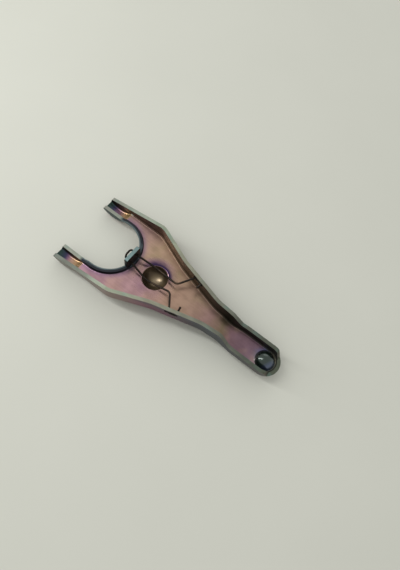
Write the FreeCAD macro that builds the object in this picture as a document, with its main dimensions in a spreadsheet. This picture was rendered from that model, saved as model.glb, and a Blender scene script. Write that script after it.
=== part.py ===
import FreeCAD, Part
import math
import os
import Sketcher

# Clutch fork: a lever pressed from one sheet of steel, with a wire clip that keeps the ball stud in
# its socket. Millimetres. X runs from the fingers (minus) to the tail (plus), the open side of the
# channel faces +Z, and the part is symmetric about Y = 0. The origin is the middle of the ball
# socket's mouth, on the upper face of the web.

Vector = FreeCAD.Vector
doc = FreeCAD.newDocument("clutch_fork")

# ---------------------------------------------------------------- driving dimensions
SIZES = {
    # sheet
    "sheet_thickness": 2.4,
    "bend_radius": 1.2,             # inside radius where the web turns up into a flange
    # plan, half widths measured to the outer faces
    "finger_reach": 62.0,           # socket to finger tips
    "finger_half_width": 30.0,
    "shoulder_x": -15.0,            # where the parallel fingers start to taper
    "shoulder_round": 16.0,
    "hip_x": 11.0,
    "hip_half_width": 19.3,
    "hip_round": 40.0,
    "neck_x": 44.0,
    "neck_half_width": 10.4,
    "neck_round": 30.0,
    "waist_x": 59.0,
    "waist_half_width": 9.2,
    "waist_round": 24.0,
    "tail_start_x": 68.0,
    "tail_half_width": 10.2,
    "tail_round": 24.0,
    "rod_cup_x": 89.2,              # socket to push-rod cup
    # mouth
    "mouth_radius": 19.0,
    "mouth_centre_x": -38.2,
    "mouth_corner_round": 2.0,
    "mouth_flat_half_width": 6.65,  # the mouth is cut flat where the tab stands
    # side view
    "rim_height": 10.2,             # tall flange above the web
    "finger_rim_height": 0.3,       # flange at the finger tips
    "finger_ramp_end_x": -17.0,     # where the rim reaches its full height
    "rim_drop_start_x": 57.5,
    "rim_drop_end_x": 65.0,
    "rim_drop_round": 5.0,
    "tail_rim_height": 4.4,
    "tail_rim_end_x": 92.6,
    "lip_height": 1.1,              # lip round the tail, above the tail's floor
    "lip_start_x": 95.4,
    "joggle_start_x": 50.0,
    "joggle_end_x": 62.0,
    "tail_drop": 1.6,
    "pad_setback": 8.0,             # finger tip to the middle of the curved bearing pad
    "pad_radius": 14.0,             # upper face of the pad
    "pad_depth": 5.0,
    "overrun": 3.0,                 # how far a cutting outline runs past the part
    # flange round the mouth
    "mouth_rim_height": 2.3,
    "mouth_rim_finger_height": 0.3,
    "mouth_step_x": -44.0,
    "mouth_step_end_x": -40.5,
    "tab_height": 11.0,
    "tab_half_width": 6.6,
    "tab_round": 1.6,
    # ball socket
    "ball_cup_radius": 9.0,
    "ball_cup_centre_z": 2.6,
    "ball_cup_wall": 2.1,
    "ball_cup_lip": 1.2,
    "ball_cup_blend": 3.0,
    # push-rod cup
    "rod_cup_radius": 4.8,
    "rod_cup_wall": 2.0,
    "rod_cup_centre_drop": 1.9,
    "rod_cup_blend": 0.5,
    "tip_round": 1.8,
    # slots for the clip
    "slot_start_x": 20.4,
    "slot_end_x": 29.4,
    "slot_bottom_z": 6.5,
    "slot_top_z": 9.0,
    # clip
    "wire_diameter": 1.5,
    "wire_clearance": 0.3,
    "wire_bend": 1.5,
    "clip_hole_y": 3.4,
    "clip_hole_z": 5.2,
    "clip_hook_reach": 2.2,
    "clip_hook_rise": 4.2,
    "clip_neck_x": -1.0,
    "clip_neck_y": 5.4,
    "clip_neck_z": 1.3,
    "clip_knee_x": 14.8,
    "clip_knee_y": 4.8,
    "clip_knee_z": 4.6,
    "clip_stub_length": 6.2,
}

sheet = doc.addObject("Spreadsheet::Sheet", "size")
for row, (name, value) in enumerate(SIZES.items(), start=1):
    sheet.set(f"A{row}", name)
    sheet.set(f"B{row}", str(value))
    sheet.setAlias(f"B{row}", name)
doc.recompute()


def size(expression):
    """The value of an expression over the sheet's cells, such as size.rim_height * 2."""
    result = sheet.evalExpression(expression)
    return float(getattr(result, "Value", result))


# ---------------------------------------------------------------- sketch helpers
def plane(body, role):
    for feature in body.Origin.OriginFeatures:
        if feature.Role == role:
            return feature
    raise ValueError(role)


def new_sketch(body, name, role, offset="0"):
    sketch = body.newObject("Sketcher::SketchObject", name)
    sketch.AttachmentSupport = [(plane(body, role), "")]
    sketch.MapMode = "FlatFace"
    sketch.setExpression(".AttachmentOffset.Base.z", offset)
    return sketch


def pin(sketch, geometry, vertex, x, y):
    """Fix a vertex at two expressions."""
    for kind, expression in (("DistanceX", x), ("DistanceY", y)):
        constraint = Sketcher.Constraint(kind, -1, 1, geometry, vertex, size(expression))
        index = sketch.addConstraint(constraint)
        sketch.setExpression(f"Constraints[{index}]", expression)


def outline(sketch, corners):
    """A closed loop. A corner is (x, y), or (x, y, centre_x, centre_y, turn) where an arc leads on
    to the next corner; turn is +1 for anticlockwise and -1 for clockwise."""
    count = len(corners)
    start_vertex = []
    end_vertex = []
    first = sketch.GeometryCount
    for index, corner in enumerate(corners):
        following = corners[(index + 1) % count]
        start = Vector(size(corner[0]), size(corner[1]), 0)
        end = Vector(size(following[0]), size(following[1]), 0)
        if len(corner) == 2:
            sketch.addGeometry(Part.LineSegment(start, end), False)
            start_vertex.append(1)
            end_vertex.append(2)
            continue
        centre = Vector(size(corner[2]), size(corner[3]), 0)
        radius = (start - centre).Length
        angles = [math.atan2(p.y - centre.y, p.x - centre.x) for p in (start, end)]
        turn = corner[4]
        if turn < 0:
            angles.reverse()
        circle = Part.Circle(centre, Vector(0, 0, 1), radius)
        sketch.addGeometry(Part.ArcOfCircle(circle, angles[0], angles[1]), False)
        start_vertex.append(1 if turn > 0 else 2)
        end_vertex.append(2 if turn > 0 else 1)
    for index, corner in enumerate(corners):
        geometry = first + index
        after = first + (index + 1) % count
        joint = (geometry, end_vertex[index], after, start_vertex[(index + 1) % count])
        sketch.addConstraint(Sketcher.Constraint("Coincident", *joint))
        pin(sketch, geometry, start_vertex[index], corner[0], corner[1])
        if len(corner) > 2:
            constraint = Sketcher.Constraint("DistanceX", -1, 1, geometry, 3, size(corner[2]))
            number = sketch.addConstraint(constraint)
            sketch.setExpression(f"Constraints[{number}]", corner[2])


def mirrored(corners):
    """The same run of corners on the other side of Y = 0, in reverse order."""
    return [(x, f"-({y})") for x, y in reversed(corners)]


def extrude(body, kind, sketch, name, expression, reverse=False, side="One side"):
    feature = body.newObject(f"PartDesign::{kind}", name)
    feature.Profile = sketch
    feature.SideType = side
    feature.Reversed = reverse
    feature.setExpression("Length", expression)
    sketch.Visibility = False
    doc.recompute()
    return feature


def revolve(body, kind, sketch, name, axis):
    feature = body.newObject(f"PartDesign::{kind}", name)
    feature.Profile = sketch
    feature.ReferenceAxis = (sketch, [axis])
    feature.Angle = 360
    doc.recompute()
    return feature


def fillet(body, name, edges, expression):
    feature = body.newObject("PartDesign::Fillet", name)
    feature.Base = (body.Tip if body.Tip is not feature else feature.BaseFeature, edges)
    feature.setExpression("Radius", expression)
    doc.recompute()
    return feature


def edges_where(shape, test):
    return [f"Edge{number}" for number, edge in enumerate(shape.Edges, start=1) if test(edge)]


def upright_near(x, y, inset):
    """Picks vertical edges by their place in the plan, on both sides of Y = 0. On an outline that is
    inset by a sheet thickness the corners lie up to that much off."""
    reach = inset + 0.05

    def test(edge):
        box = edge.BoundBox
        here = abs(box.XMin - x) < reach and box.XLength < 0.01
        level = abs(abs(box.YMin) - y) < reach and box.YLength < 0.01
        return here and level and box.ZLength > 0.5
    return test


def faces_of(shape, edge):
    return shape.ancestorsOfType(edge, Part.Face)


def is_upright(face):
    middle = [sum(pair) / 2 for pair in (face.ParameterRange[:2], face.ParameterRange[2:])]
    return abs(face.normalAt(*middle).z) < 0.02


def bottom_rim(body):
    """The edges between the walls and the lower faces, away from the open finger ends."""
    shape = body.Tip.Shape

    def test(edge):
        walls = [is_upright(face) for face in faces_of(shape, edge)]
        at_tip = edge.BoundBox.XMax < size("-size.finger_reach") + 0.05
        low = edge.BoundBox.ZMax < size("size.tail_rim_height")
        return low and not at_tip and len(walls) == 2 and walls[0] != walls[1]
    return edges_where(shape, test)


def across_at(x, z):
    """Picks edges that run across the fork (along Y) at a point of the side view."""
    def test(edge):
        box = edge.BoundBox
        here = abs(box.XMin - x) < 0.05 and abs(box.XMax - x) < 0.05
        level = abs(box.ZMin - z) < 0.05 and abs(box.ZMax - z) < 0.05
        return here and level and box.YLength > 0.5
    return test


def along_x_at(y, z):
    """Picks edges that run along X at a half width and a height."""
    def test(edge):
        box = edge.BoundBox
        here = abs(abs(box.YMin) - y) < 0.05 and box.YLength < 0.1
        return here and abs(box.ZMin - z) < 0.05 and box.ZLength < 0.1 and box.XLength > 0.5
    return test


def ring_at(z, x):
    """Picks the circles that lie level at a height round an upright axis at x."""
    def test(edge):
        if edge.Degenerated or not isinstance(edge.Curve, Part.Circle):
            return False
        curve = edge.Curve
        on_axis = abs(curve.Center.x - x) < 0.05 and abs(curve.Center.y) < 0.05
        return on_axis and abs(curve.Center.z - z) < 0.05 and abs(abs(curve.Axis.z) - 1) < 0.01
    return test


# ---------------------------------------------------------------- the pressed fork
fork = doc.addObject("PartDesign::Body", "fork_body")
DEEP = "(size.pad_depth + size.sheet_thickness + size.overrun)"
FAR = "(size.rod_cup_x + size.tail_half_width + size.overrun)"
OUT = "-(size.finger_reach + size.overrun)"
WIDE = "2 * (size.finger_half_width + size.overrun)"
TOP = "(size.tab_height + size.overrun)"
TAB_X = "(size.mouth_centre_x + sqrt(size.mouth_radius^2 - size.mouth_flat_half_width^2))"
PAD_X = "(size.pad_setback - size.finger_reach)"


def plan_outline(reach):
    """Two parallel fingers round a mouth, shoulders, a tapering lever with a waist, a round tail."""
    flank = [
        (reach, "size.finger_half_width"),
        ("size.shoulder_x", "size.finger_half_width"),
        ("size.hip_x", "size.hip_half_width"),
        ("size.neck_x", "size.neck_half_width"),
        ("size.waist_x", "size.waist_half_width"),
        ("size.tail_start_x", "size.tail_half_width"),
    ]
    tail = [("size.rod_cup_x", "size.tail_half_width", "size.rod_cup_x", "0", -1),
            ("size.rod_cup_x", "-size.tail_half_width")]
    mouth = [
        (reach, "-size.mouth_radius"),
        ("size.mouth_centre_x", "-size.mouth_radius", "size.mouth_centre_x", "0", 1),
        (TAB_X, "-size.mouth_flat_half_width"),
        (TAB_X, "size.mouth_flat_half_width", "size.mouth_centre_x", "0", 1),
        ("size.mouth_centre_x", "size.mouth_radius"),
        (reach, "size.mouth_radius"),
    ]
    return flank + tail + mirrored(flank) + mouth


def round_plan_corners(body, inset):
    """Round the upright corners of the plan; an inset outline keeps the same centres."""
    thickness = size(inset)
    turns = {"shoulder": 1, "hip": -1, "neck": -1, "waist": -1, "tail_start": 1}
    for corner, turn in turns.items():
        x = size(f"size.{corner}_x")
        half = "finger" if corner == "shoulder" else corner.replace("_start", "")
        name = corner.replace("_start", "")
        y = size(f"size.{half}_half_width") - thickness
        picked = edges_where(body.Tip.Shape, upright_near(x, y, thickness))
        sign = "-" if turn > 0 else "+"
        fillet(body, f"{name}_corner_{body.Name}", picked, f"size.{name}_round {sign} {inset}")
    y = size("size.mouth_flat_half_width") + thickness
    picked = edges_where(body.Tip.Shape, upright_near(size(TAB_X), y, thickness))
    fillet(body, f"mouth_corner_{body.Name}", picked, f"size.mouth_corner_round + {inset}")


plan = new_sketch(fork, "plan", "XY_Plane", f"-{DEEP}")
outline(plan, plan_outline("-size.finger_reach"))
blank = extrude(fork, "Pad", plan, "blank", f"{DEEP} + {TOP}")
round_plan_corners(fork, "0")

# underside: level web, curved bearing pads under the fingers, joggle down to the tail
PAD_CENTRE_Z = "(size.pad_radius - size.pad_depth)"
JOGGLE_MIDDLE = "((size.joggle_start_x + size.joggle_end_x) / 2)"
JOGGLE_LENGTH = "(size.joggle_end_x - size.joggle_start_x)"
JOGGLE_ROUND = f"(({JOGGLE_LENGTH}^2 + size.tail_drop^2) / (4 * size.tail_drop))"


def under_profile(drop):
    """Side view of everything under a surface that lies a distance below the web's upper face."""
    radius = f"(size.pad_radius + {drop})"
    crease = f"({PAD_X} + sqrt({radius}^2 - ({PAD_CENTRE_Z} + {drop})^2))"
    pad_end = f"({PAD_CENTRE_Z} - sqrt({radius}^2 - (size.pad_setback + size.overrun)^2))"
    return [
        (OUT, pad_end, PAD_X, PAD_CENTRE_Z, 1),
        (crease, f"-{drop}"),
        ("size.joggle_start_x", f"-{drop}", "size.joggle_start_x", f"-({drop} + {JOGGLE_ROUND})", -1),
        (JOGGLE_MIDDLE, f"-({drop} + size.tail_drop / 2)",
         "size.joggle_end_x", f"{JOGGLE_ROUND} - {drop} - size.tail_drop", 1),
        ("size.joggle_end_x", f"-(size.tail_drop + {drop})"),
        (FAR, f"-(size.tail_drop + {drop})"),
        (FAR, f"-{DEEP} - 1"),
        (OUT, f"-{DEEP} - 1"),
    ]


below = new_sketch(fork, "below", "XZ_Plane")
outline(below, under_profile("size.sheet_thickness"))
extrude(fork, "Pocket", below, "underside", WIDE, side="Symmetric")
fillet(fork, "outer_bend", bottom_rim(fork), "size.bend_radius + size.sheet_thickness")

# channel: the hollow of the sheet, one thickness inside the blank and open at the finger ends
hollow = doc.addObject("PartDesign::Body", "channel")
hollow_plan = doc.addObject("Sketcher::SketchObject", "channel_plan")
outline(hollow_plan, plan_outline("-(size.finger_reach + 2 * size.sheet_thickness)"))
doc.recompute()
inset = doc.addObject("Part::Offset2D", "channel_outline")
inset.Source = hollow_plan
inset.Join = 2
inset.setExpression("Value", "-size.sheet_thickness")
prism = doc.addObject("Part::Extrusion", "channel_prism")
prism.Base = inset
prism.DirMode = "Custom"
prism.Dir = Vector(0, 0, 1)
prism.Solid = True
prism.setExpression("LengthFwd", TOP)
prism.setExpression("LengthRev", DEEP)
doc.recompute()
hollow.BaseFeature = prism
doc.recompute()
round_plan_corners(hollow, "size.sheet_thickness")
web = new_sketch(hollow, "web_surface", "XZ_Plane")
outline(web, under_profile("0"))
extrude(hollow, "Pocket", web, "web_face", WIDE, side="Symmetric")
fillet(hollow, "inner_bend", bottom_rim(hollow), "size.bend_radius")

shell = fork.newObject("PartDesign::Boolean", "shell")
shell.Type = "Cut"
shell.addObject(hollow)
doc.recompute()

# rims: a ramp along the fingers, tall beside the socket, a drop to the low tail, a lip round its end
rim = new_sketch(fork, "rim_line", "XZ_Plane")
TIP_X = "-size.finger_reach"
TIP_ARC_X = "(size.tip_round - size.finger_reach)"
TIP_Z = "(size.finger_rim_height - size.tip_round)"
outline(rim, [
    (OUT, TIP_Z),
    (TIP_X, TIP_Z, TIP_ARC_X, TIP_Z, -1),
    (TIP_ARC_X, "size.finger_rim_height"),
    ("size.finger_ramp_end_x", "size.rim_height"),
    ("size.rim_drop_start_x", "size.rim_height"),
    ("size.rim_drop_end_x", "size.tail_rim_height"),
    ("size.tail_rim_end_x", "size.tail_rim_height"),
    ("size.lip_start_x", "size.lip_height - size.tail_drop"),
    (FAR, "size.lip_height - size.tail_drop"),
    (FAR, f"{TOP} + 1"),
    (OUT, f"{TOP} + 1"),
])
extrude(fork, "Pocket", rim, "rims", WIDE, side="Symmetric")

# the flange round the mouth is low
mouth_rim = new_sketch(fork, "mouth_rim_line", "XZ_Plane")
MOUTH_TIP_Z = "(size.mouth_rim_finger_height - size.tip_round)"
outline(mouth_rim, [
    (OUT, MOUTH_TIP_Z),
    (TIP_X, MOUTH_TIP_Z, TIP_ARC_X, MOUTH_TIP_Z, -1),
    (TIP_ARC_X, "size.mouth_rim_finger_height"),
    ("size.mouth_step_x", "size.mouth_rim_finger_height"),
    ("size.mouth_step_end_x", "size.mouth_rim_height"),
    (f"{TAB_X} + size.sheet_thickness + size.bend_radius", "size.mouth_rim_height"),
    (f"{TAB_X} + size.sheet_thickness + size.bend_radius", f"{TOP} + 1"),
    (OUT, f"{TOP} + 1"),
])
mouth_band = "2 * (size.mouth_radius + size.sheet_thickness + 0.6)"
extrude(fork, "Pocket", mouth_rim, "mouth_rims", mouth_band, side="Symmetric")

# upright tab in the middle of the mouth, with two holes for the clip's U bend
TAB_FOOT = "(size.mouth_rim_height - size.sheet_thickness)"
tab_plan = new_sketch(fork, "tab_outline", "YZ_Plane", TAB_X)
outline(tab_plan, [
    ("-size.tab_half_width", TAB_FOOT),
    ("size.tab_half_width", TAB_FOOT),
    ("size.tab_half_width", "size.tab_height"),
    ("-size.tab_half_width", "size.tab_height"),
])
extrude(fork, "Pad", tab_plan, "tab", "size.sheet_thickness")
picked = edges_where(fork.Tip.Shape, along_x_at(size("size.tab_half_width"), size("size.tab_height")))
fillet(fork, "tab_corners", picked, "size.tab_round")


def round_hole(sketch, x, y, radius):
    circle = Part.Circle(Vector(size(x), size(y), 0), Vector(0, 0, 1), size(radius))
    geometry = sketch.addGeometry(circle, False)
    pin(sketch, geometry, 3, x, y)
    number = sketch.addConstraint(Sketcher.Constraint("Radius", geometry, size(radius)))
    sketch.setExpression(f"Constraints[{number}]", radius)


HOLE_RADIUS = "(size.wire_diameter / 2 + size.wire_clearance)"
holes = new_sketch(fork, "tab_hole_centres", "YZ_Plane", f"{TAB_X} - size.overrun")
for side in ("", "-"):
    round_hole(holes, f"{side}size.clip_hole_y", "size.clip_hole_z", HOLE_RADIUS)
extrude(fork, "Pocket", holes, "tab_holes", "size.sheet_thickness + 2 * size.overrun", reverse=True)

# ball socket: a drawn cup under the web
CUP_OUTSIDE = "(size.ball_cup_radius + size.ball_cup_wall)"
CUP_BOTTOM = f"(size.ball_cup_centre_z - {CUP_OUTSIDE})"
CUP_EDGE = f"sqrt({CUP_OUTSIDE}^2 - (size.ball_cup_centre_z + size.bend_radius)^2)"
cup = new_sketch(fork, "ball_cup_section", "XZ_Plane")
outline(cup, [
    ("0", CUP_BOTTOM, "0", "size.ball_cup_centre_z", 1),
    (CUP_EDGE, "-size.bend_radius"),
    ("0", "-size.bend_radius"),
])
revolve(fork, "Revolution", cup, "ball_cup", "V_Axis")
picked = edges_where(fork.Tip.Shape, ring_at(size("-size.sheet_thickness"), 0))
fillet(fork, "ball_cup_foot", picked, "size.ball_cup_blend")
hollow_cup = new_sketch(fork, "ball_cup_hollow", "XZ_Plane")
outline(hollow_cup, [
    ("0", "size.ball_cup_centre_z - size.ball_cup_radius", "0", "size.ball_cup_centre_z", 1),
    ("size.ball_cup_radius", "size.ball_cup_centre_z"),
    ("0", "size.ball_cup_centre_z"),
])
revolve(fork, "Groove", hollow_cup, "ball_seat", "V_Axis")
picked = edges_where(fork.Tip.Shape, ring_at(0, 0))
fillet(fork, "ball_cup_lip", picked, "size.ball_cup_lip")

# push-rod cup: a dome raised from the tail's floor, hollow below
ROD_CENTRE_Z = "-(size.tail_drop + size.rod_cup_centre_drop)"
ROD_OUTSIDE = "(size.rod_cup_radius + size.rod_cup_wall)"
ROD_FOOT_Z = "-(size.tail_drop + size.bend_radius)"
ROD_FOOT = f"sqrt({ROD_OUTSIDE}^2 - (size.rod_cup_centre_drop - size.bend_radius)^2)"
dome = new_sketch(fork, "rod_cup_section", "XZ_Plane")
dome.setExpression(".AttachmentOffset.Base.x", "size.rod_cup_x")
outline(dome, [
    ("0", ROD_FOOT_Z),
    (ROD_FOOT, ROD_FOOT_Z, "0", ROD_CENTRE_Z, 1),
    ("0", f"{ROD_CENTRE_Z} + {ROD_OUTSIDE}"),
])
revolve(fork, "Revolution", dome, "rod_cup", "V_Axis")
picked = edges_where(fork.Tip.Shape, ring_at(size("-size.tail_drop"), size("size.rod_cup_x")))
fillet(fork, "rod_cup_foot", picked, "size.rod_cup_blend")
hollow_dome = new_sketch(fork, "rod_cup_hollow", "XZ_Plane")
hollow_dome.setExpression(".AttachmentOffset.Base.x", "size.rod_cup_x")
outline(hollow_dome, [
    ("0", f"-{DEEP}"),
    ("size.rod_cup_radius", f"-{DEEP}"),
    ("size.rod_cup_radius", ROD_CENTRE_Z, "0", ROD_CENTRE_Z, 1),
    ("0", f"{ROD_CENTRE_Z} + size.rod_cup_radius"),
])
revolve(fork, "Groove", hollow_dome, "rod_seat", "V_Axis")

# slots in both flanges for the clip's ends
slot = new_sketch(fork, "slot_outline", "XZ_Plane")
SLOT_ROUND = "((size.slot_top_z - size.slot_bottom_z) / 2)"
SLOT_MIDDLE = "((size.slot_top_z + size.slot_bottom_z) / 2)"
outline(slot, [
    (f"size.slot_start_x + {SLOT_ROUND}", "size.slot_bottom_z"),
    (f"size.slot_end_x - {SLOT_ROUND}", "size.slot_bottom_z",
     f"size.slot_end_x - {SLOT_ROUND}", SLOT_MIDDLE, 1),
    (f"size.slot_end_x - {SLOT_ROUND}", "size.slot_top_z"),
    (f"size.slot_start_x + {SLOT_ROUND}", "size.slot_top_z",
     f"size.slot_start_x + {SLOT_ROUND}", SLOT_MIDDLE, 1),
])
extrude(fork, "Pocket", slot, "slots", WIDE, side="Symmetric")

# softened corners of the rims in side view
picked = edges_where(fork.Tip.Shape, across_at(size("size.rim_drop_start_x"), size("size.rim_height")))
picked += edges_where(fork.Tip.Shape, across_at(size("size.rim_drop_end_x"), size("size.tail_rim_height")))
fillet(fork, "rim_drop", picked, "size.rim_drop_round")
picked = edges_where(fork.Tip.Shape, across_at(size("size.tail_rim_end_x"), size("size.tail_rim_height")))
fillet(fork, "tail_rim_end", picked, "size.tip_round")

# ---------------------------------------------------------------- the wire clip
WIRE_GAP = "(size.wire_diameter / 2 + size.wire_clearance)"


def flange_outside(x):
    """Half width of the outer face between hip and neck, as an expression of x."""
    slope = "(size.hip_half_width - size.neck_half_width) / (size.neck_x - size.hip_x)"
    return f"(size.hip_half_width - ({x} - size.hip_x) * {slope})"


FIRST_X = "(size.slot_start_x + 2 * size.wire_diameter)"
LAST_X = "(size.slot_end_x - size.wire_diameter)"
APPROACH_X = f"({FIRST_X} - size.wire_diameter)"
APPROACH_Y = f"({flange_outside(APPROACH_X)} - size.sheet_thickness - 2 * size.wire_diameter)"
RETURN_Y = f"({flange_outside(LAST_X)} - size.clip_stub_length)"
half_path = [
    (f"{TAB_X} - size.clip_hook_reach", "0", "size.clip_hole_z + size.clip_hook_rise"),
    (f"{TAB_X} - size.clip_hook_reach", "size.clip_hole_y", "size.clip_hole_z + size.clip_hook_rise"),
    (f"{TAB_X} - size.clip_hook_reach / 2", "size.clip_hole_y", "size.clip_hole_z"),
    (f"{TAB_X} + size.sheet_thickness + size.wire_diameter", "size.clip_hole_y", "size.clip_hole_z"),
    ("size.clip_neck_x", "size.clip_neck_y", "size.clip_neck_z"),
    ("size.clip_knee_x", "size.clip_knee_y", "size.clip_knee_z"),
    (APPROACH_X, APPROACH_Y, SLOT_MIDDLE),
    (FIRST_X, f"{flange_outside(FIRST_X)} + {WIRE_GAP}", SLOT_MIDDLE),
    (LAST_X, f"{flange_outside(LAST_X)} + {WIRE_GAP}", SLOT_MIDDLE),
    (f"{LAST_X} - 1.5", RETURN_Y, SLOT_MIDDLE),
]


def bent_wire(points, radius):
    """A centre line through the points, with a tangent arc at every bend."""
    pieces = []
    start = points[0]
    for before, corner, after in zip(points, points[1:], points[2:]):
        arriving = (corner - before).normalize()
        leaving = (after - corner).normalize()
        half_angle = arriving.getAngle(leaving) / 2
        if half_angle < 0.01:
            continue
        setback = radius * math.tan(half_angle)
        arc_start = corner - arriving * setback
        arc_end = corner + leaving * setback
        inward = (leaving - arriving).normalize()
        centre = corner + inward * (radius / math.cos(half_angle))
        arc_middle = centre - inward * radius
        pieces.append(Part.LineSegment(start, arc_start).toShape())
        pieces.append(Part.Arc(arc_start, arc_middle, arc_end).toShape())
        start = arc_end
    pieces.append(Part.LineSegment(start, points[-1]).toShape())
    return Part.Wire(pieces)


right = [Vector(*(size(value) for value in point)) for point in half_path]
left = [Vector(point.x, -point.y, point.z) for point in right[1:]]
centre_line = bent_wire(list(reversed(left)) + right[1:], size("size.wire_bend"))
first_edge = centre_line.OrderedEdges[0]
start_point = first_edge.valueAt(first_edge.FirstParameter)
direction = first_edge.tangentAt(first_edge.FirstParameter)
section = Part.Wire(Part.Circle(start_point, direction, size("size.wire_diameter / 2")).toShape())
clip = doc.addObject("Part::Feature", "retaining_spring")
clip.Shape = centre_line.makePipeShell([section], True, True)
clip.Placement = FreeCAD.Placement()
doc.recompute()

# ---------------------------------------------------------------- output
nodes = {"fork_body": fork, "retaining_spring": clip}
for item in doc.Objects:
    if {"Invalid", "Error"} & set(item.State):
        raise RuntimeError(f"{item.Name}: {item.State}")
for name, item in nodes.items():
    item.Label = name
    shape = item.Shape
    if shape.isNull() or not shape.isValid() or len(shape.Solids) != 1:
        raise RuntimeError(f"{name} is not one valid solid")
os.makedirs("parts", exist_ok=True)
for name, item in nodes.items():
    item.Shape.exportStep(f"parts/{name}.step")
    box = item.Shape.BoundBox
    print(name, round(item.Shape.Volume), "mm3", [round(v, 1) for v in (box.XLength, box.YLength, box.ZLength)])
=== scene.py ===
# %% [markdown]
# # A clutch fork in passivated steel
# This lesson finishes a clutch fork that is pressed from one sheet of steel, and bends the wire clip
# that holds the ball stud in its socket. The fork's shape is ready in the CAD frame, so the work on it
# is its finish: a thin passivation film that turns gold, rose, violet and teal over the sheet, pale
# sheared edges and a dark drawn socket. The clip is bent anew as one smooth wire, because its CAD solid
# has tighter bends than the real one.

# %% Load the frame
import bmesh
import bpy
import math
from mathutils import Color, Matrix, Vector


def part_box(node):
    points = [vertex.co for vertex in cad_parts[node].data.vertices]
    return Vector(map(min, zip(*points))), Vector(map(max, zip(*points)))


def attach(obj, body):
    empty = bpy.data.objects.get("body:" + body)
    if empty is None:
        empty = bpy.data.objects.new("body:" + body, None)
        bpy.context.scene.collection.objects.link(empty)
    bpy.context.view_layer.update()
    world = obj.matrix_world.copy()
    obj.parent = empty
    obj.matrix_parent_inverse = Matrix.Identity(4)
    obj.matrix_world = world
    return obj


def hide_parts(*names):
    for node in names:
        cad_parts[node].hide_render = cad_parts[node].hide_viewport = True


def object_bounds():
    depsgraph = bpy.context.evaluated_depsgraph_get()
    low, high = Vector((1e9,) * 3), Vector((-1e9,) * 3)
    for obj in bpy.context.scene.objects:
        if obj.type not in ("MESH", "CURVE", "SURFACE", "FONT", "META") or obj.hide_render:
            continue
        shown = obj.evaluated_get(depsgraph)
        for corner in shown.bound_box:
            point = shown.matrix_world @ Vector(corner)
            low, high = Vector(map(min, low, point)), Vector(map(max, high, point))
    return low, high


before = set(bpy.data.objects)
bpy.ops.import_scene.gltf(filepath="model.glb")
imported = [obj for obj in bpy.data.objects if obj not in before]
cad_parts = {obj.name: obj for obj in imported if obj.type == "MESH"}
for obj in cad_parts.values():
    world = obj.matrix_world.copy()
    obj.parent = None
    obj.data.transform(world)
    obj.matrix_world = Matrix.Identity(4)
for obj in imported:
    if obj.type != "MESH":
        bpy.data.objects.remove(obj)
cad_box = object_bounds()
print("CAD box in metres:", cad_box)

# %% [markdown]
# ## Places on the fork
# A finish that follows the part needs a few of its places. The fork lies along X with the middle of its
# ball socket at the origin, its two fingers towards minus X and its open side up. The ends of its box
# give the finger tips and the tail. The other sizes are the fork's own, written in millimetres and
# turned into metres, which is what Blender measures in.

# %% Places and sizes
MM = 0.001
fork_low, fork_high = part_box("fork_body")
TIP_X = fork_low[0]
TAIL_X = fork_high[0]
SHEET = 2.4 * MM
TAIL_HALF_WIDTH = 10.2 * MM
ROD_CUP_X = TAIL_X - TAIL_HALF_WIDTH
DOME_RADIUS = 6.9 * MM
SOCKET_RADIUS = 9.2 * MM
MOUTH_CENTRE_X = -38.2 * MM
MOUTH_RADIUS = 19.0 * MM
SLOT_START_X = 20.4 * MM
SLOT_END_X = 29.4 * MM
SLOT_BOTTOM_Z = 6.5 * MM
SLOT_TOP_Z = 9.0 * MM
print("finger tips at", TIP_X, "and tail at", TAIL_X)

# %% [markdown]
# ## Paint
# A colour picker shows red, green and blue from 0 to 255, while a shader counts light. One function
# turns the first into the second, so that every finish below can be written as a picker shows it.

# %% Paint
PICKER_WHITE = 255


def paint(red, green, blue):
    """A colour as a picker shows it, 0 to 255, in the linear values that nodes expect."""
    picked = Color((red / PICKER_WHITE, green / PICKER_WHITE, blue / PICKER_WHITE))
    return (*picked.from_srgb_to_scene_linear(), 1.0)


print("half grey gives back this share of the light:", round(paint(128, 128, 128)[0], 3))

# %% [markdown]
# ## Helpers for nodes
# Node trees grow long in Python, so each node that comes back often gets a helper. Every helper takes
# either a number or another node's output, as the editor does when a value is typed or a noodle drawn.

# %% Nodes and links
def add(tree, kind, **settings):
    """A new node with its settings."""
    node = tree.nodes.new(kind)
    for name, value in settings.items():
        setattr(node, name, value)
    return node


def feed(tree, source, socket):
    """Link another node's output to a socket, or write a plain value into it."""
    if isinstance(source, bpy.types.NodeSocket):
        tree.links.new(source, socket)
    else:
        socket.default_value = source


def axes(tree, vector):
    """The X, Y and Z of a vector."""
    node = add(tree, "ShaderNodeSeparateXYZ")
    feed(tree, vector, node.inputs["Vector"])
    return node.outputs


# %% Sums and masks
def sums(tree, operation, first, second=0.0, clamp=False):
    """One Math node."""
    node = add(tree, "ShaderNodeMath", operation=operation, use_clamp=clamp)
    feed(tree, first, node.inputs[0])
    feed(tree, second, node.inputs[1])
    return node.outputs[0]


def product(tree, *factors):
    """The factors multiplied together. For masks, that is where they overlap."""
    result = factors[0]
    for factor in factors[1:]:
        result = sums(tree, "MULTIPLY", result, factor)
    return result


def rise(tree, value, start, end):
    """A soft mask: 0 at start and beyond, 1 at end and beyond, whichever of the two is larger."""
    node = add(tree, "ShaderNodeMapRange", interpolation_type="SMOOTHSTEP")
    feed(tree, value, node.inputs["Value"])
    node.inputs["From Min"].default_value = min(start, end)
    node.inputs["From Max"].default_value = max(start, end)
    node.inputs["To Min"].default_value = 0.0 if start < end else 1.0
    node.inputs["To Max"].default_value = 1.0 if start < end else 0.0
    return node.outputs["Result"]


# %% Colours and noise
# A Mix node keeps sockets for every kind of data. These are the numbers of its colour sockets.
MIX_UNDER = 6
MIX_OVER = 7
MIX_RESULT = 2


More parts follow.
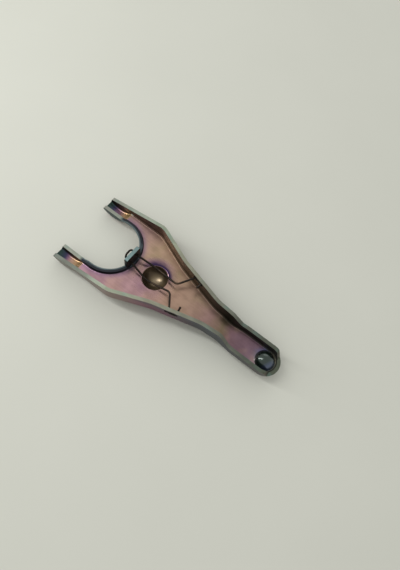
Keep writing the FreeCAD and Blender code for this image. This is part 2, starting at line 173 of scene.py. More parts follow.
def colours_along(tree, position, stops):
    """A colour ramp. Each stop is a position from 0 to 1 and its colour."""
    node = add(tree, "ShaderNodeValToRGB")
    band = node.color_ramp
    (first_place, first_colour), *between, (last_place, last_colour) = stops
    band.elements[0].position = first_place
    band.elements[0].color = paint(*first_colour)
    band.elements[1].position = last_place
    band.elements[1].color = paint(*last_colour)
    for place, colour in between:
        band.elements.new(place).color = paint(*colour)
    feed(tree, position, node.inputs["Fac"])
    return node.outputs["Color"]


def blend(tree, mask, under, over, way="MIX"):
    """Lay one colour over another where the mask is 1."""
    node = add(tree, "ShaderNodeMix", data_type="RGBA", blend_type=way)
    feed(tree, mask, node.inputs["Factor"])
    feed(tree, under, node.inputs[MIX_UNDER])
    feed(tree, over, node.inputs[MIX_OVER])
    return node.outputs[MIX_RESULT]


def noise(tree, place, scale, detail):
    """Soft clouds from 0 to 1; a larger scale gives smaller clouds."""
    node = add(tree, "ShaderNodeTexNoise")
    feed(tree, place, node.inputs["Vector"])
    feed(tree, scale, node.inputs["Scale"])
    feed(tree, detail, node.inputs["Detail"])
    return node.outputs["Fac"]


# %% Groups and materials
def open_group(name, inputs=()):
    """An empty node group with its input sockets, each with a kind and a value to start from."""
    group = bpy.data.node_groups.new(name, "ShaderNodeTree")
    for label, kind, value in inputs:
        socket = group.interface.new_socket(name=label, in_out="INPUT", socket_type=kind)
        socket.default_value = value
    return group


def close_group(group, outputs):
    """Give the group an output socket for each named value."""
    for label in outputs:
        group.interface.new_socket(name=label, in_out="OUTPUT", socket_type="NodeSocketFloat")
    way_out = add(group, "NodeGroupOutput")
    for label, value in outputs.items():
        feed(group, value, way_out.inputs[label])
    print("group", group.name, "gives", ", ".join(outputs))


def place_group(tree, group, **values):
    """A copy of a group in a material, with its own input values. Gives the group's outputs."""
    node = add(tree, "ShaderNodeGroup", node_tree=group)
    for name, value in values.items():
        feed(tree, value, node.inputs[name])
    return node.outputs


def new_material(name):
    """A material with its node tree and its shader."""
    material = bpy.data.materials.new(name)
    material.use_nodes = True
    return material, material.node_tree, material.node_tree.nodes["Principled BSDF"]


def raise_grain(tree, shader, height, strength, depth):
    """Bump from a height that goes from 0 to 1 over a depth in metres."""
    bump = add(tree, "ShaderNodeBump")
    feed(tree, strength, bump.inputs["Strength"])
    feed(tree, depth, bump.inputs["Distance"])
    feed(tree, height, bump.inputs["Height"])
    feed(tree, bump.outputs["Normal"], shader.inputs["Normal"])


# %% [markdown]
# ## Grain: an effect that both metals share
# Rolled sheet and drawn wire both carry fine streaks and faint clouds. Each material could have noise
# nodes of its own, but then a change must be made twice. As a node group the effect is built once, and
# each material places it with its own fineness and stretch. It gives a mottle for colour and
# roughness and a height for bump, and nothing in it depends on where the camera stands.

# %% Grain group
CLOUD_SCALE = 130.0
CLOUD_DETAIL = 3.0
CLOUD_SHARE = 0.65
STREAK_DETAIL = 4.0

grain_group = open_group("metal grain", [
    ("Grain", "NodeSocketFloat", 900.0),
    ("Stretch", "NodeSocketVector", (0.08, 1.0, 1.0)),
])
grain_in = add(grain_group, "NodeGroupInput").outputs
grain_place = add(grain_group, "ShaderNodeTexCoord").outputs["Object"]
stretched = add(grain_group, "ShaderNodeVectorMath", operation="MULTIPLY")
feed(grain_group, grain_place, stretched.inputs[0])
feed(grain_group, grain_in["Stretch"], stretched.inputs[1])
streaks = noise(grain_group, stretched.outputs["Vector"], grain_in["Grain"], STREAK_DETAIL)
clouds = noise(grain_group, grain_place, CLOUD_SCALE, CLOUD_DETAIL)
mottle = sums(grain_group, "ADD", product(grain_group, clouds, CLOUD_SHARE),
              product(grain_group, streaks, 1.0 - CLOUD_SHARE))
close_group(grain_group, {"Mottle": mottle, "Height": streaks})

# %% [markdown]
# ## Where the fork's surfaces are
# One sheet carries very different finishes: its floor, its sheared rims, the walls of the channel, the
# bearing pads, the drawn socket and the dome of the push-rod cup. In the editor such masks could be
# painted by hand. Here they are worked out from Object coordinates and from the way the surface faces,
# so the CAD mesh stays untouched and the masks hold from every side.

# %% Regions group: masks
regions = open_group("fork regions")


def soft(start, end, origin=0.0):
    """The soft edge of a mask: where it is 0 and where it is 1, in millimetres from an origin."""
    return (origin + start * MM, origin + end * MM)


def step(value, edge):
    """A mask over the fork with a soft edge."""
    return rise(regions, value, *edge)


def overlap(*masks):
    return product(regions, *masks)


def opposite(mask):
    return sums(regions, "SUBTRACT", 1.0, mask)


def either(first, *others):
    result = first
    for mask in others:
        result = sums(regions, "MAXIMUM", result, mask)
    return result


# %% Regions group: places
surface = add(regions, "ShaderNodeTexCoord").outputs
x, y, z = axes(regions, surface["Object"])
side = sums(regions, "ABSOLUTE", y)


def distance_from(centre_x, to_the_tips=False):
    """Distance in the plan from a point on the middle line, or from the line from there to the tips."""
    offset = sums(regions, "SUBTRACT", x, centre_x)
    if to_the_tips:
        offset = sums(regions, "MAXIMUM", offset, 0.0)
    square = sums(regions, "ADD", overlap(offset, offset), overlap(side, side))
    return sums(regions, "SQRT", square)


from_mouth = distance_from(MOUTH_CENTRE_X, to_the_tips=True)
from_socket = distance_from(0.0)
from_rod_cup = distance_from(ROD_CUP_X)
print("nodes so far in", regions.name, len(regions.nodes))

# %% Regions group: facing
FACING_UP = (0.35, 0.75)
FACING_DOWN = (-0.2, -0.5)
FACING_OUT = (-0.15, 0.15)
FACING_IN = (-0.10, -0.40)

_, normal_y, normal_z = axes(regions, surface["Normal"])
up = step(normal_z, FACING_UP)
steep = opposite(up)
below = step(normal_z, FACING_DOWN)
away_from_middle = overlap(normal_y, sums(regions, "SIGN", y))
outward = step(away_from_middle, FACING_OUT)
inward = step(away_from_middle, FACING_IN)
print("nodes so far in", regions.name, len(regions.nodes))

# %% [markdown]
# ### The dome and the rims
# A rim is what the shears left: it faces up and lies above the bend of its flange. The fingers' rims
# are so low that they get a level of their own, and so do the rounded tips and the lip round the tail.

# %% Regions group: dome and rims
DOME_EDGE = soft(0.0, -0.3, DOME_RADIUS)
DOME_LEVEL = soft(-1.75, -1.45)
FAR_SIDE_SLANT = 0.5
FAR_SIDE_EDGE = soft(-1.0, 6.0, ROD_CUP_X)
dome = overlap(step(from_rod_cup, DOME_EDGE), step(z, DOME_LEVEL))
slant = sums(regions, "SUBTRACT", x, overlap(y, FAR_SIDE_SLANT))
dome_far_side = overlap(dome, step(slant, FAR_SIDE_EDGE))

FLANGE_RIM_LEVEL = soft(1.2, 1.6)
FINGER_RIM_LEVEL = soft(0.05, 0.2)
FINGER_RIM_START = soft(-40.5, -43.0)
TIP_START = soft(1.9, 1.6, TIP_X)
TIP_LEVEL = soft(-1.9, -1.6)
LIP_EDGE = soft(-0.2, 0.0, TAIL_HALF_WIDTH - SHEET)
LIP_START = soft(0.0, 1.0, ROD_CUP_X)
finger_rim = overlap(step(z, FINGER_RIM_LEVEL), step(x, FINGER_RIM_START))
tip = overlap(step(x, TIP_START), step(z, TIP_LEVEL))
tail_lip = overlap(step(from_rod_cup, LIP_EDGE), step(x, LIP_START))
rim_level = either(step(z, FLANGE_RIM_LEVEL), finger_rim, tip, tail_lip)
rim = overlap(up, rim_level, opposite(dome))
print("nodes so far in", regions.name, len(regions.nodes))

# %% [markdown]
# ### The mouth and its tab
# The mouth is cut on an arc and its edge is bent up into a low flange, with the clip's tab standing in
# the middle. The flange has its upper edge, its face towards the mouth and the sharp line between the
# two, which carries a painted highlight. The fringe is a violet painted reflection on the web beside
# it.

# %% Regions group: mouth and tab
TAB_LEVEL = soft(2.9, 3.2)
TAB_SIDE = soft(7.2, 6.9)
TAB_BACK = soft(-15.0, -16.0)
TAB_FRONT = soft(-24.0, -23.0)
tab = overlap(step(z, TAB_LEVEL), step(side, TAB_SIDE), step(x, TAB_BACK), step(x, TAB_FRONT))

ARC_BAND = soft(0.9, 0.3, MOUTH_RADIUS + SHEET)
ARC_START = soft(-9.5, -6.5, MOUTH_CENTRE_X)
ARC_LEVEL = soft(-0.9, -0.3)
FACE_EDGE = soft(1.4, 0.4, MOUTH_RADIUS)
LINE_EDGE = soft(1.1, 0.4, MOUTH_RADIUS)
FRINGE_EDGE = soft(7.0, 2.6, MOUTH_RADIUS)
on_arc = step(x, ARC_START)
mouth_arc = overlap(step(from_mouth, ARC_BAND), on_arc, opposite(tab), step(z, ARC_LEVEL))
mouth_face = overlap(steep, step(from_mouth, FACE_EDGE))
mouth_edge_highlight = overlap(mouth_arc, step(from_mouth, LINE_EDGE))
mouth_fringe = overlap(step(from_mouth, FRINGE_EDGE), up, opposite(rim_level), on_arc)
print("nodes so far in", regions.name, len(regions.nodes))

# %% [markdown]
# ### Walls, pads, socket and slots
# The flanges have an outer and an inner wall. The inner one takes the round bend at its foot with it,
# so the crease gets the wall's painted shade and no pale line runs along it. The socket is a bowl with
# a heart painted lighter towards the tail as a pool of light, and a ring of colour where the sheet was
# drawn in.

# %% Regions group: walls and pads
OUTER_WALL_START = soft(22.5, 23.5)
CREASE_START = soft(11.0, 13.0)
PAD_START = soft(-42.2, -43.6)
PAD_SIDE = soft(20.6, 21.4)

outer_wall = overlap(steep, outward, step(from_mouth, OUTER_WALL_START))
inner_wall = overlap(steep, opposite(outer_wall), opposite(mouth_face), opposite(below), opposite(dome))
on_pads = step(x, PAD_START)
# The crease at the foot of each inner wall joins the wall, so it takes the wall's painted shade.
crease = overlap(inward, up, opposite(rim_level), opposite(dome), step(from_socket, CREASE_START),
                 opposite(on_pads))
inner_wall = either(inner_wall, crease)
pad = overlap(on_pads, opposite(rim), opposite(outer_wall), opposite(mouth_face), opposite(below),
              step(side, PAD_SIDE))
print("nodes so far in", regions.name, len(regions.nodes))

# %% Regions group: socket and slots
SOCKET_EDGE = soft(0.2, -0.6, SOCKET_RADIUS)
SOCKET_LEVEL = soft(0.0, -0.35)
SOCKET_RING = soft(16.5, 9.8)
HEART_X = 2.0 * MM
HEART_EDGE = soft(8.0, 1.5)
socket = overlap(step(from_socket, SOCKET_EDGE), step(z, SOCKET_LEVEL), opposite(below))
socket_ring = overlap(step(from_socket, SOCKET_RING), opposite(below), opposite(socket), opposite(rim))
# Painted light: the socket's heart, off towards the tail, is painted lighter.
socket_lit_heart = overlap(socket, step(distance_from(HEART_X), HEART_EDGE))

SLOT_ENDS = (soft(-0.3, 0.1, SLOT_START_X), soft(0.3, -0.1, SLOT_END_X))
SLOT_LEVELS = (soft(-0.25, 0.1, SLOT_BOTTOM_Z), soft(0.25, -0.1, SLOT_TOP_Z))
FACING_ALONG = (0.9, 0.6)
inside_slot = [step(x, edge) for edge in SLOT_ENDS] + [step(z, edge) for edge in SLOT_LEVELS]
slot_wall = overlap(*inside_slot, step(sums(regions, "ABSOLUTE", normal_y), FACING_ALONG))
print("nodes so far in", regions.name, len(regions.nodes))

# %% Regions group: outputs
along = add(regions, "ShaderNodeMapRange")
feed(regions, x, along.inputs["Value"])
feed(regions, TIP_X, along.inputs["From Min"])
feed(regions, TAIL_X, along.inputs["From Max"])
close_group(regions, {
    "Along": along.outputs["Result"], "Rim": rim, "Inner wall": inner_wall, "Outer wall": outer_wall,
    "Mouth face": mouth_face, "Mouth arc": mouth_arc, "Mouth edge highlight": mouth_edge_highlight,
    "Mouth fringe": mouth_fringe, "Tab": tab, "Pad": pad, "Socket": socket,
    "Socket lit heart": socket_lit_heart, "Socket ring": socket_ring, "Dome": dome,
    "Dome far side": dome_far_side, "Slot wall": slot_wall,
})

# %% [markdown]
# ## Passivated steel: the floor of the channel
# The passivation film is thinner than a wavelength of light, so its colour follows its thickness. A
# colour ramp from the finger tips (0) to the tail (1) gives the web its run of colours, and slow noise
# pushes the ramp back and forth, which reads as a film that drained unevenly off the sheet. The other
# way would be Thin Film in the Principled shader, but that colour turns with the angle of view, and it
# can't be told to go gold by the creases and violet by the socket.

# %% Steel: film over the floor
STEEL_GRAIN = 700.0
SEED_SLANT = 0.7
DRIFT_DETAIL = 2.0
steel, tree, shader = new_material("passivated steel")
region = place_group(tree, regions)
grain = place_group(tree, grain_group, Grain=STEEL_GRAIN)
spot = add(tree, "ShaderNodeTexCoord").outputs["Object"]
spot_x, spot_y, spot_z = axes(tree, spot)


def drift(scale, seed, strength=1.0):
    """Slow noise around zero, from a patch of its own for each seed."""
    moved = add(tree, "ShaderNodeMapping")
    moved.inputs["Location"].default_value = (seed, seed * SEED_SLANT, 0.0)
    feed(tree, spot, moved.inputs["Vector"])
    cloud = noise(tree, moved.outputs["Vector"], scale, DRIFT_DETAIL)
    return product(tree, sums(tree, "SUBTRACT", cloud, 0.5), strength)


film = sums(tree, "ADD", region["Along"], drift(scale=70.0, seed=0.31, strength=0.10))
floor_colour = colours_along(tree, film, [
    (0.10, (184, 150, 154)), (0.20, (180, 144, 142)), (0.32, (194, 162, 138)), (0.45, (186, 152, 132)),
    (0.56, (176, 146, 126)), (0.66, (160, 128, 122)), (0.72, (130, 114, 90)), (0.77, (128, 99, 104)),
    (0.87, (124, 100, 114)), (0.90, (104, 104, 140)), (0.94, (78, 84, 74)),
])
print("nodes in the steel:", len(tree.nodes))

# %% [markdown]
# ### Patches in the film, a painted reflection and painted shade
# Patches break the even run: a pink cast over the near finger's half, thin golden places where the
# film drained off, a violet fringe by the mouth that is a painted reflection, and painted shade in the
# joggle beside the far wall, where the sheet steps down to the tail.

# %% Steel: patches in the film
PINK = paint(184, 144, 156)
NEAR_GOLD = paint(190, 156, 134)
FAR_GOLD = paint(166, 148, 112)
FRINGE_REFLECTION_VIOLET = paint(132, 104, 142)
JOGGLE_PAINTED_SHADE = paint(78, 68, 52)
PINK_STRENGTH = 0.75
GOLD_STRENGTH = 0.45
FRINGE_STRENGTH = 0.55
JOGGLE_STRENGTH = 0.80

near_half = rise(tree, spot_y, 6.0 * MM, -12.0 * MM)
by_the_fingers = rise(tree, region["Along"], 0.50, 0.36)
pink_mask = product(tree, near_half, by_the_fingers, PINK_STRENGTH)
floor_colour = blend(tree, pink_mask, floor_colour, PINK)

thin_film = rise(tree, drift(scale=60.0, seed=9.4), -0.04, 0.18)
gold = blend(tree, rise(tree, spot_y, -6.0 * MM, 6.0 * MM), NEAR_GOLD, FAR_GOLD)
floor_colour = blend(tree, product(tree, thin_film, GOLD_STRENGTH), floor_colour, gold)

# Painted reflection: a violet fringe on the web beside the mouth's flange.
fringe_reflection_mask = product(tree, region["Mouth fringe"], FRINGE_STRENGTH)
floor_colour = blend(tree, fringe_reflection_mask, floor_colour, FRINGE_REFLECTION_VIOLET)

# Painted shade: the joggle darkens beside the far wall, where shade falls as the sheet steps down.
joggle_start = rise(tree, spot_x, 49.0 * MM, 53.0 * MM)
joggle_end = rise(tree, spot_x, 59.0 * MM, 55.0 * MM)
joggle_side = rise(tree, spot_y, 1.0 * MM, 5.0 * MM)
joggle_shade_mask = product(tree, joggle_start, joggle_end, joggle_side, JOGGLE_STRENGTH)
floor_colour = blend(tree, joggle_shade_mask, floor_colour, JOGGLE_PAINTED_SHADE)
print("nodes in the steel:", len(tree.nodes))

# %% [markdown]
# ### The ring round the socket
# Drawing the socket stretched the sheet around it, and the film shows that as a violet haze. Its lip
# on the far side is painted dark indigo, a painted dark reflection. A plain ring would look like a
# sticker, so the haze is strongest towards the mouth and on the far side, and the drift eats into it.

# %% Steel: ring round the socket
HAZE_VIOLET = paint(140, 100, 140)
LIP_INDIGO_REFLECTION = paint(58, 42, 78)


def at_least(least, mask):
    """The mask, raised so that it never falls below its least value."""
    return sums(tree, "ADD", least, product(tree, mask, 1.0 - least))


far_half = rise(tree, spot_y, -2.0 * MM, 7.0 * MM)
mouth_side = rise(tree, spot_x, 8.0 * MM, -4.0 * MM)
eaten = sums(tree, "ADD", 1.0, drift(scale=160.0, seed=1.7), clamp=True)
haze = product(tree, region["Socket ring"], at_least(0.35, mouth_side), eaten, at_least(0.30, far_half))
# Painted reflection: the far side of the ring's lip is darkened to indigo.
lip = product(tree, region["Socket ring"], region["Socket ring"], far_half)
ring_colour = blend(tree, lip, HAZE_VIOLET, LIP_INDIGO_REFLECTION)
ring_mask = sums(tree, "MAXIMUM", haze, product(tree, lip, lip))
floor_colour = blend(tree, ring_mask, floor_colour, ring_colour)
print("nodes in the steel:", len(tree.nodes))

# %% [markdown]
# ### Pads, rims and walls
# Each of these has its own run of colours along the fork. The pads go from blue steel at the tips
# through violet to gold at their crease, partly painted shade at the tips and painted light by the
# crease. The rims are pale where the shears left bare metal, with teal patches of film; they darken
# towards the tail, partly as painted shade, and painted shade darkens the near finger's outer rim at
# its tip. The inner walls are brown, with painted shade that makes them nearly black by the tail, and
# the outer ones are magenta low down beside the socket and slate near their rims.

# %% Steel: pads and rims
RIM_TEAL = paint(108, 148, 140)
PAINTED_SHADE_AT_TIP = paint(96, 100, 92)
TEAL_STRENGTH = 0.40
SHADE_STRENGTH = 0.70

# The dark tips and bright gold by the crease are partly painted shade and light, where the trough turns
# away from and towards the light.
pad_colour = colours_along(tree, film, [
    (0.00, (54, 76, 70)), (0.018, (58, 72, 84)), (0.030, (72, 68, 100)), (0.048, (136, 102, 124)),
    (0.072, (176, 142, 128)), (0.10, (206, 168, 126)), (0.125, (180, 154, 106)),
])
# The rims darken towards the tail, partly film and partly painted shade.
rim_colour = colours_along(tree, film, [
    (0.00, (146, 148, 138)), (0.15, (152, 160, 146)), (0.32, (158, 166, 146)), (0.45, (148, 148, 130)),
    (0.60, (132, 134, 120)), (0.72, (114, 116, 104)), (0.85, (94, 98, 88)), (1.00, (86, 92, 78)),
])
teal_mask = product(tree, rise(tree, drift(scale=90.0, seed=3.1), 0.0, 0.22), TEAL_STRENGTH)
rim_colour = blend(tree, teal_mask, rim_colour, RIM_TEAL)
# Painted shade: the near finger's outer rim darkens towards its tip.
near_edge = rise(tree, spot_y, -23.5 * MM, -25.5 * MM)
shade_mask = product(tree, near_edge, rise(tree, region["Along"], 0.30, 0.10), SHADE_STRENGTH)
rim_colour = blend(tree, shade_mask, rim_colour, PAINTED_SHADE_AT_TIP)
print("nodes in the steel:", len(tree.nodes))

# %% Steel: walls
UPPER_SLATE = paint(64, 70, 82)
SLATE_STRENGTH = 0.60

# The inner walls are brown, with painted shade that makes them nearly black towards the tail.
inner_colour = colours_along(tree, film, [
    (0.00, (26, 28, 26)), (0.10, (92, 72, 54)), (0.20, (70, 52, 44)), (0.36, (86, 68, 50)),
    (0.50, (76, 64, 46)), (0.62, (60, 52, 40)), (0.72, (32, 31, 23)), (0.85, (32, 31, 23)),
    (1.00, (66, 66, 62)),
])
outer_colour = colours_along(tree, film, [
    (0.00, (104, 104, 96)), (0.20, (122, 108, 102)), (0.32, (138, 114, 108)), (0.42, (122, 74, 92)),
    (0.52, (100, 48, 76)), (0.64, (36, 38, 50)), (0.75, (44, 50, 60)), (1.00, (70, 64, 66)),
])
high_up = rise(tree, spot_z, 6.0 * MM, 8.5 * MM)
slate_mask = product(tree, high_up, rise(tree, region["Along"], 0.36, 0.44), SLATE_STRENGTH)
outer_colour = blend(tree, slate_mask, outer_colour, UPPER_SLATE)
print("nodes in the steel:", len(tree.nodes))

# %% [markdown]
# ### Mouth, tab, socket and dome
# The flange round the mouth is blue-black, with painted highlights in patches and a painted highlight
# along its sharp edge. The tab is painted nearly black as shade, with a pale sheared top. The socket is
# bronze, painted lighter in its heart as a pool of light, and the dome goes from green-black to blue on
# its far side. The two round ones use short ramps of their own, fed by their masks, because a ramp
# along the fork would cut straight across them.

# %% Steel: mouth, tab, socket and dome
ARC_DARK = paint(40, 44, 50)
ARC_HIGHLIGHT = paint(82, 94, 98)
MOUTH_EDGE_HIGHLIGHT = paint(96, 110, 112)
MOUTH_FACE = paint(54, 70, 70)
TAB_PAINTED_SHADE = paint(30, 30, 26)
TAB_TOP = paint(122, 146, 146)
# The slot's walls are painted nearly black as shade.
SLOT_PAINTED_SHADE = paint(26, 24, 20)
ARC_LIGHT_STRENGTH = 0.50

# Painted highlights: lighter patches on the mouth's flange and a light line along its sharp edge.
arc_highlight_patches = rise(tree, drift(scale=130.0, seed=6.1), 0.02, 0.20)
arc_colour = blend(tree, product(tree, arc_highlight_patches, ARC_LIGHT_STRENGTH), ARC_DARK, ARC_HIGHLIGHT)
arc_colour = blend(tree, region["Mouth edge highlight"], arc_colour, MOUTH_EDGE_HIGHLIGHT)
# The tab is painted nearly black as shade, with its pale sheared top laid over it.
tab_colour = blend(tree, region["Rim"], TAB_PAINTED_SHADE, TAB_TOP)
# The lit heart lifts the socket's bronze: painted light.
socket_film = sums(tree, "ADD", region["Socket lit heart"], drift(scale=120.0, seed=5.3, strength=0.5))
socket_colour = colours_along(tree, socket_film, [
    (0.0, (80, 68, 52)), (0.45, (112, 98, 76)), (0.9, (150, 134, 110)),
])
dome_film = sums(tree, "ADD", region["Dome far side"], drift(scale=110.0, seed=8.9, strength=0.4))
dome_colour = colours_along(tree, dome_film, [
    (0.0, (34, 50, 42)), (0.4, (40, 56, 52)), (0.9, (66, 80, 106)),
])
print("nodes in the steel:", len(tree.nodes))

# %% [markdown]
# ### Lay the finishes over each other
# The floor lies at the bottom and each region's colour goes over it, like masked coats of paint. Each
# region could have a material of its own, but then its border would follow the triangles of the CAD
# mesh, while a mask can fade. The grain then darkens the whole a little. The bare rims and the inner
# walls scatter light more than the film does, the drawn ring round the socket less, and the dome gets a
# clear coat for its sharp streak.

# %% Steel: colour
GRAIN_DARK = paint(170, 166, 160)
GRAIN_LIGHT = paint(255, 255, 255)
GRAIN_STRENGTH = 0.30

colour = floor_colour
for name, layer in [
    ("Pad", pad_colour), ("Inner wall", inner_colour), ("Outer wall", outer_colour),
    ("Mouth face", MOUTH_FACE), ("Rim", rim_colour), ("Mouth arc", arc_colour), ("Tab", tab_colour),
    ("Socket", socket_colour), ("Dome", dome_colour), ("Slot wall", SLOT_PAINTED_SHADE),
]:
    colour = blend(tree, region[name], colour, layer)
speckle = blend(tree, rise(tree, grain["Mottle"], 0.38, 0.62), GRAIN_DARK, GRAIN_LIGHT)
colour = blend(tree, GRAIN_STRENGTH, colour, speckle, "MULTIPLY")
feed(tree, colour, shader.inputs["Base Color"])
print("nodes in the steel:", len(tree.nodes))

# %% Steel: roughness, coat and bump
FILM_ROUGHNESS = 0.24
ROUGHER_BY = [(grain["Mottle"], 0.12), (region["Rim"], 0.18), (region["Inner wall"], 0.20),
              (region["Socket ring"], -0.12)]

roughness = FILM_ROUGHNESS
for mask, change in ROUGHER_BY:
    roughness = sums(tree, "ADD", roughness, product(tree, mask, change))
feed(tree, roughness, shader.inputs["Roughness"])
shader.inputs["Metallic"].default_value = 0.75
feed(tree, region["Dome"], shader.inputs["Coat Weight"])
shader.inputs["Coat Roughness"].default_value = 0.10
raise_grain(tree, shader, grain["Height"], strength=0.06, depth=0.2 * MM)
print("nodes in the steel:", len(tree.nodes))

# %% [markdown]
# ## Give the finish to the fork
# The fork keeps its CAD mesh. Only the material in its slot changes.

# %% Dress the fork
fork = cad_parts["fork_body"]
fork.data.materials.clear()
fork.data.materials.append(steel)
print("the fork wears", steel.name)

# %% [markdown]
# ## Blackened wire
# The clip is drawn wire, blackened in an oil bath: almost black, with a brown cast where the oil wore
# off. A single dark colour would look like plastic. The grain group is placed again with a finer
# grain, and its mottle says where the brown shows and where the wire is rougher.

# %% Blackened wire
OIL_BLACK = paint(34, 28, 22)
WORN_BROWN = paint(78, 62, 46)
WIRE_GRAIN = 2200.0
WIRE_STRETCH = (0.2, 1.0, 1.0)
WIRE_ROUGHNESS = 0.30
WIRE_MOTTLE = 0.25

wire, tree, shader = new_material("blackened wire")
grain = place_group(tree, grain_group, Grain=WIRE_GRAIN, Stretch=WIRE_STRETCH)
worn = rise(tree, grain["Mottle"], 0.50, 0.70)
feed(tree, blend(tree, worn, OIL_BLACK, WORN_BROWN), shader.inputs["Base Color"])
roughness = sums(tree, "ADD", WIRE_ROUGHNESS, product(tree, grain["Mottle"], WIRE_MOTTLE))
feed(tree, roughness, shader.inputs["Roughness"])
shader.inputs["Metallic"].default_value = 0.70
raise_grain(tree, shader, grain["Height"], strength=0.15, depth=0.1 * MM)
print("nodes in the wire:", len(tree.nodes))

# %% [markdown]
# ## The wire clip's route
# The clip's hook goes through two holes in the tab. From there each leg runs down past the socket, up
# to its knee, out to the flange, along its slot and back in as a short stub. The two legs mirror each
# other, so only one is written down: each corner of its route, with the radius of the bend there. A
# curve object with a bevel could draw the wire too, but its bends come from handles, while a
# wire-bender thinks in corners and radii.

# %% Route of the clip
HIP_X = 11.0 * MM
HIP_HALF_WIDTH = 19.3 * MM
FLANGE_TAPER = 0.27
SLOT_Z = (SLOT_BOTTOM_Z + SLOT_TOP_Z) / 2
HOLE_Y = 3.4 * MM
HOLE_Z = 5.2 * MM
SLOT_IN_X = 23.4 * MM
SLOT_OUT_X = 28.2 * MM


def beside_flange(along_x):
    """How far from the middle the wire lies in its slot: its centre is on the flange's outer face."""
    return HIP_HALF_WIDTH - (along_x - HIP_X) * FLANGE_TAPER


# The corners in turn: the hook's top, its foot, behind the tab, beside the socket, the knee, before the
# flange, and the two ends of the run along the slot.
HALF_ROUTE = [
    ((-22.6 * MM, HOLE_Y, 8.9 * MM), 2.7 * MM),
    ((-21.5 * MM, HOLE_Y, HOLE_Z), 1.1 * MM),
    ((-16.5 * MM, HOLE_Y, HOLE_Z), 1.5 * MM),
    ((-3.0 * MM, 5.5 * MM, 1.3 * MM), 12.0 * MM),
    ((15.0 * MM, 3.5 * MM, 4.8 * MM), 4.0 * MM),
    ((21.2 * MM, 12.3 * MM, 7.5 * MM), 1.5 * MM),
    ((SLOT_IN_X, beside_flange(SLOT_IN_X), SLOT_Z), 1.2 * MM),
    ((SLOT_OUT_X, beside_flange(SLOT_OUT_X), SLOT_Z), 1.2 * MM),
]
STUB_END = Vector((27.1 * MM, 8.4 * MM, SLOT_Z))
ACROSS = Vector((1.0, -1.0, 1.0))

right_leg = [(Vector(corner), radius) for corner, radius in HALF_ROUTE]
left_leg = [(corner * ACROSS, radius) for corner, radius in reversed(right_leg)]
bends = left_leg + right_leg
wire_start = STUB_END * ACROSS
print("bends in the clip:", len(bends))

# %% [markdown]
# ## Bend the wire
# A bending machine knows two moves: feed the wire straight, and turn it round a pin. The mesh is made
# the same way. A ring of edges is extruded for each straight run and spun for each bend, so every knee
# is a true arc with its own radius. Each bend starts and ends where its arc touches the straight runs.

# %% Feed and turn
WIRE_RADIUS = 0.68 * MM
WIRE_SIDES = 12
DEGREES_PER_STEP = 10
FEWEST_STEPS = 3


def feed_straight(shape, ring, move):
    """Push a ring of edges straight on. Gives the new ring's edges and corners."""
    fed = bmesh.ops.extrude_edge_only(shape, edges=ring)["geom"]
    corners = [item for item in fed if isinstance(item, bmesh.types.BMVert)]
    edges = [item for item in fed if isinstance(item, bmesh.types.BMEdge)
             and all(end in corners for end in item.verts)]
    bmesh.ops.translate(shape, vec=move, verts=corners)
    return edges, corners


def turn_round_pin(shape, edges, corners, pin, axis, angle):
    """Spin the ring round a pin. Gives the edges of the ring where the bend ends."""
    steps = max(FEWEST_STEPS, round(math.degrees(angle) / DEGREES_PER_STEP))
    bent = bmesh.ops.spin(shape, geom=corners + edges, cent=pin, axis=axis, dvec=(0.0, 0.0, 0.0),
                          angle=angle, steps=steps)["geom_last"]
    return [item for item in bent if isinstance(item, bmesh.types.BMEdge)]


# %% Bend the clip
shape = bmesh.new()
first_run = (bends[0][0] - wire_start).normalized()
facing_run = first_run.to_track_quat("Z", "Y").to_matrix().to_4x4()
bmesh.ops.create_circle(shape, cap_ends=True, segments=WIRE_SIDES, radius=WIRE_RADIUS,
                        matrix=Matrix.Translation(wire_start) @ facing_run)
ring = list(shape.edges)
reached = wire_start
next_corners = [corner for corner, _ in bends[1:]] + [STUB_END]
for (corner, radius), next_corner in zip(bends, next_corners):
    arriving = (corner - reached).normalized()
    leaving = (next_corner - corner).normalized()
    angle = arriving.angle(leaving)
    setback = radius * math.tan(angle / 2)
    bend_start = corner - arriving * setback
    edges, ends = feed_straight(shape, ring, bend_start - reached)
    axis = arriving.cross(leaving).normalized()
    pin = bend_start + axis.cross(arriving) * radius
    ring = turn_round_pin(shape, edges, ends, pin, axis, angle)
    reached = corner + leaving * setback
feed_straight(shape, ring, STUB_END - reached)
bmesh.ops.holes_fill(shape, edges=[edge for edge in shape.edges if edge.is_boundary], sides=0)
bmesh.ops.recalc_face_normals(shape, faces=shape.faces)
for face in shape.faces:
    face.smooth = len(face.verts) < WIRE_SIDES
print("faces of the wire:", len(shape.faces))

# %% [markdown]
# ## Put the clip in its place
# The bent wire becomes an object that sits at the origin, as the fork does. It stands for the clip's
# CAD solid, which is hidden, and rides on the root body.

# %% Place the clip
clip_mesh = bpy.data.meshes.new("wire clip")
shape.to_mesh(clip_mesh)
shape.free()
clip = bpy.data.objects.new("wire_clip", clip_mesh)
bpy.context.collection.objects.link(clip)
clip_mesh.materials.append(wire)
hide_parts("retaining_spring")
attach(clip, "root")
print("clip faces:", len(clip_mesh.polygons))

# %% [markdown]
# ## Paper
# The fork lies on pale paper. A plain grey plane would look like a screen, so slow noise moves its
# white a little, as the fibres of real paper do. The plane is wide enough to fill the camera's view.

# %% Paper
REST_Z = cad_box[0][2]
PAPER_GAP = 0.1 * MM
PAPER_SIZE = 3.0
FIBRE_SCALE = 9.0
FIBRE_DETAIL = 3.0
PAPER_SHADE = paint(196, 197, 187)
PAPER_LIGHT = paint(202, 203, 193)

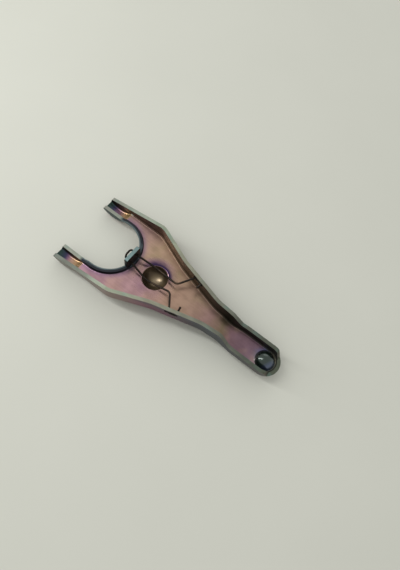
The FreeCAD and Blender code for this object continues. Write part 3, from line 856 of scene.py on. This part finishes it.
bpy.ops.mesh.primitive_plane_add(size=PAPER_SIZE, location=(0.0, 0.0, REST_Z - PAPER_GAP))
paper = bpy.context.object
paper.name = "paper"
paper_material, tree, shader = new_material("pale paper")
paper_place = add(tree, "ShaderNodeTexCoord").outputs["Object"]
fibres = noise(tree, paper_place, FIBRE_SCALE, FIBRE_DETAIL)
feed(tree, blend(tree, fibres, PAPER_SHADE, PAPER_LIGHT), shader.inputs["Base Color"])
shader.inputs["Roughness"].default_value = 0.90
paper.data.materials.append(paper_material)
print("the paper lies at", REST_Z - PAPER_GAP)

# %% [markdown]
# ## Light
# The daylight that fills a room is the world's own light here, the same from all sides. Alone it would
# leave the metal flat, because metal shows what it mirrors. So a tall and narrow window stands beyond
# the fingers. It draws the bright spot in the socket and the streak on the dome, and it throws the soft
# shadows. A weaker lamp keeps the far side from going black.

# %% Light
MIDDLE = (0.015, 0.0, 0.0)
DAYLIGHT = (1.0, 1.0, 0.98, 1.0)
DAYLIGHT_STRENGTH = 0.72


def lamp(name, place, width, height, watts):
    """A rectangular lamp that faces the middle of the fork."""
    data = bpy.data.lights.new(name, "AREA")
    data.shape = "RECTANGLE"
    data.size = width
    data.size_y = height
    data.energy = watts
    stand = bpy.data.objects.new(name, data)
    bpy.context.collection.objects.link(stand)
    stand.location = place
    stand.rotation_euler = (Vector(MIDDLE) - Vector(place)).to_track_quat("-Z", "Y").to_euler()


lamp("tall window", place=(-0.58, -0.16, 0.44), width=0.07, height=0.95, watts=3.6)
lamp("far side", place=(-0.25, 0.80, 0.50), width=0.7, height=0.4, watts=0.8)

world = bpy.data.worlds.new("studio")
bpy.context.scene.world = world
world.use_nodes = True
background = world.node_tree.nodes["Background"]
background.inputs["Color"].default_value = DAYLIGHT
background.inputs["Strength"].default_value = DAYLIGHT_STRENGTH

# %% [markdown]
# ## Camera
# The camera looks down on the open channel from just under 30 cm. Its three axes are written out, to
# its right, to its top and behind it, because together they are exactly the turn that its matrix
# holds. The Standard view shows a colour as it was picked.

# %% Camera
LENS = 38.87
SENSOR_WIDTH = 36.0
CAMERA_PLACE = Vector((0.06932, -0.09423, 0.26329))
TO_RIGHT = Vector((0.7963, 0.59367, 0.11603))
TO_TOP = Vector((-0.58621, 0.71002, 0.39017))
TO_BACK = Vector((0.14925, -0.37871, 0.9134))

camera_data = bpy.data.cameras.new("camera")
camera_data.sensor_fit = "HORIZONTAL"
camera_data.sensor_width = SENSOR_WIDTH
camera_data.lens = LENS
camera = bpy.data.objects.new("camera", camera_data)
bpy.context.collection.objects.link(camera)
camera_turn = Matrix((TO_RIGHT, TO_TOP, TO_BACK)).transposed()
camera.matrix_world = Matrix.Translation(CAMERA_PLACE) @ camera_turn.to_4x4()
bpy.context.scene.camera = camera
bpy.context.scene.view_settings.view_transform = "Standard"
print("from the camera to the socket:", round(CAMERA_PLACE.length, 3), "m")
